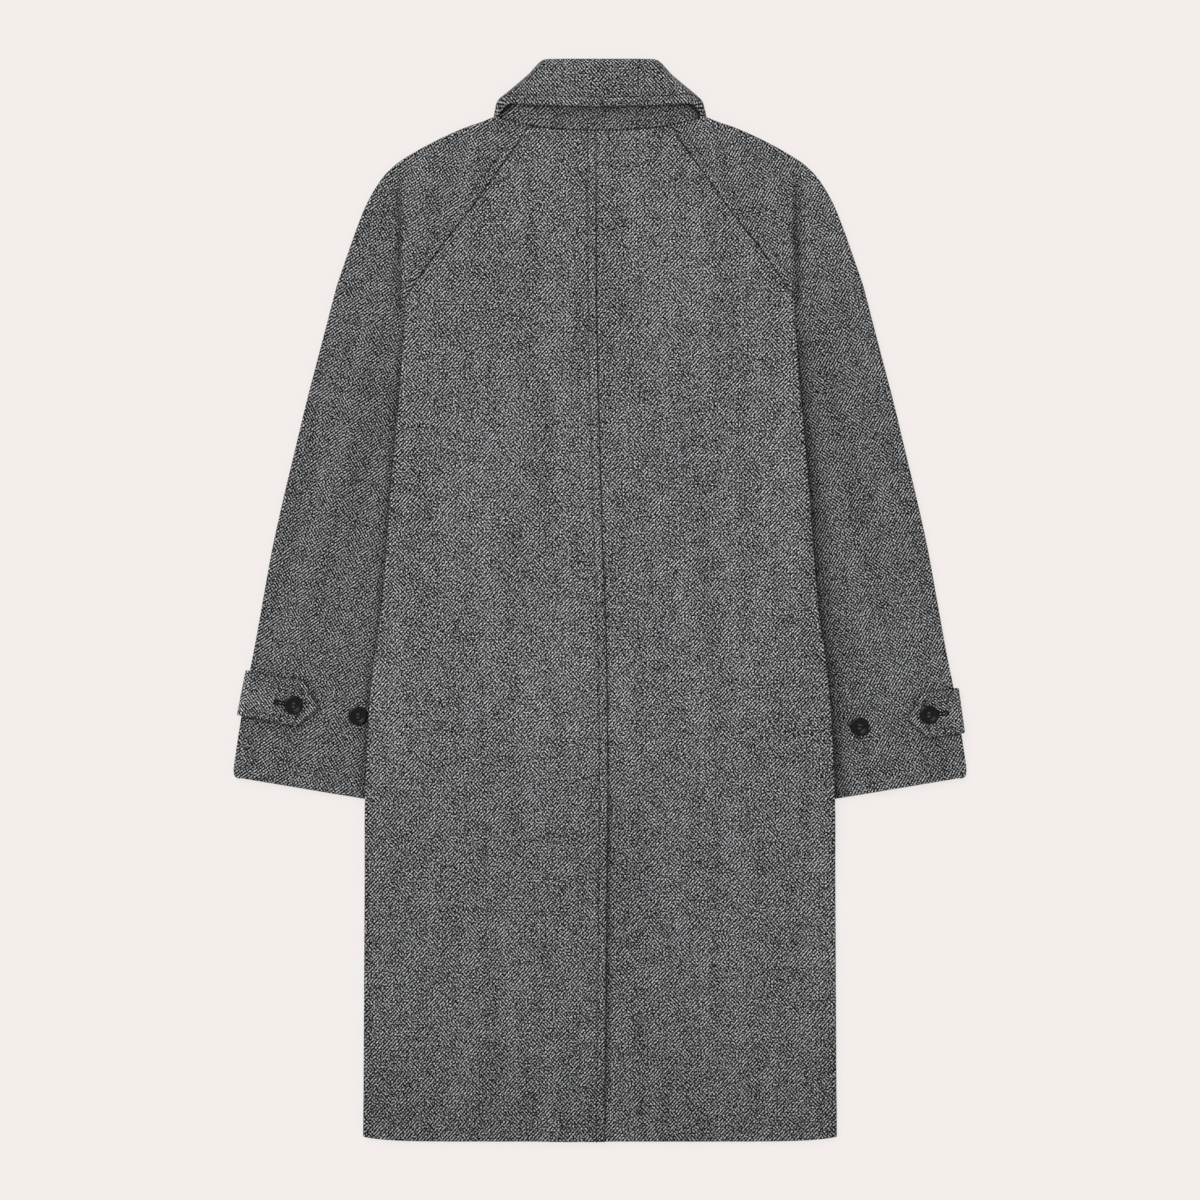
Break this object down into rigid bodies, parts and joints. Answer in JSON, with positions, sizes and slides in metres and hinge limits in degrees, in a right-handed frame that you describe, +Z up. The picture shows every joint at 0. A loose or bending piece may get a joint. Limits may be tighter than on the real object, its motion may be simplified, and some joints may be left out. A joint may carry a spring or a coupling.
{
  "type": "wool overcoat",
  "caption": "Long tweed wool overcoat with raglan sleeves, folded collar, buttoned cuff tabs and a centre back vent, laid flat back up.",
  "frame": {"origin": "middle of the garment's outline, on the surface it lies on", "axes": "+Y from hem to collar, +X to the wearer's right (viewer's right), +Z up out of the surface, back side up"},
  "size_m": [0.7718, 1.1384, 0.0161],
  "materials": {
    "tweed": "woven black and white wool, soft nap",
    "button": "polished black four-hole button"
  },
  "bodies": {
    "root": {"back_left": "tweed", "back_right": "tweed", "front_left": "tweed", "front_right": "tweed", "sleeve_back_left": "tweed", "sleeve_back_right": "tweed", "sleeve_front_left": "tweed", "sleeve_front_right": "tweed", "collar": "tweed", "cuff_tab_left": "tweed", "cuff_tab_right": "tweed", "tab_button_left": "button", "tab_button_right": "button", "cuff_button_left": "button", "cuff_button_right": "button"}
  },
  "joints": []
}
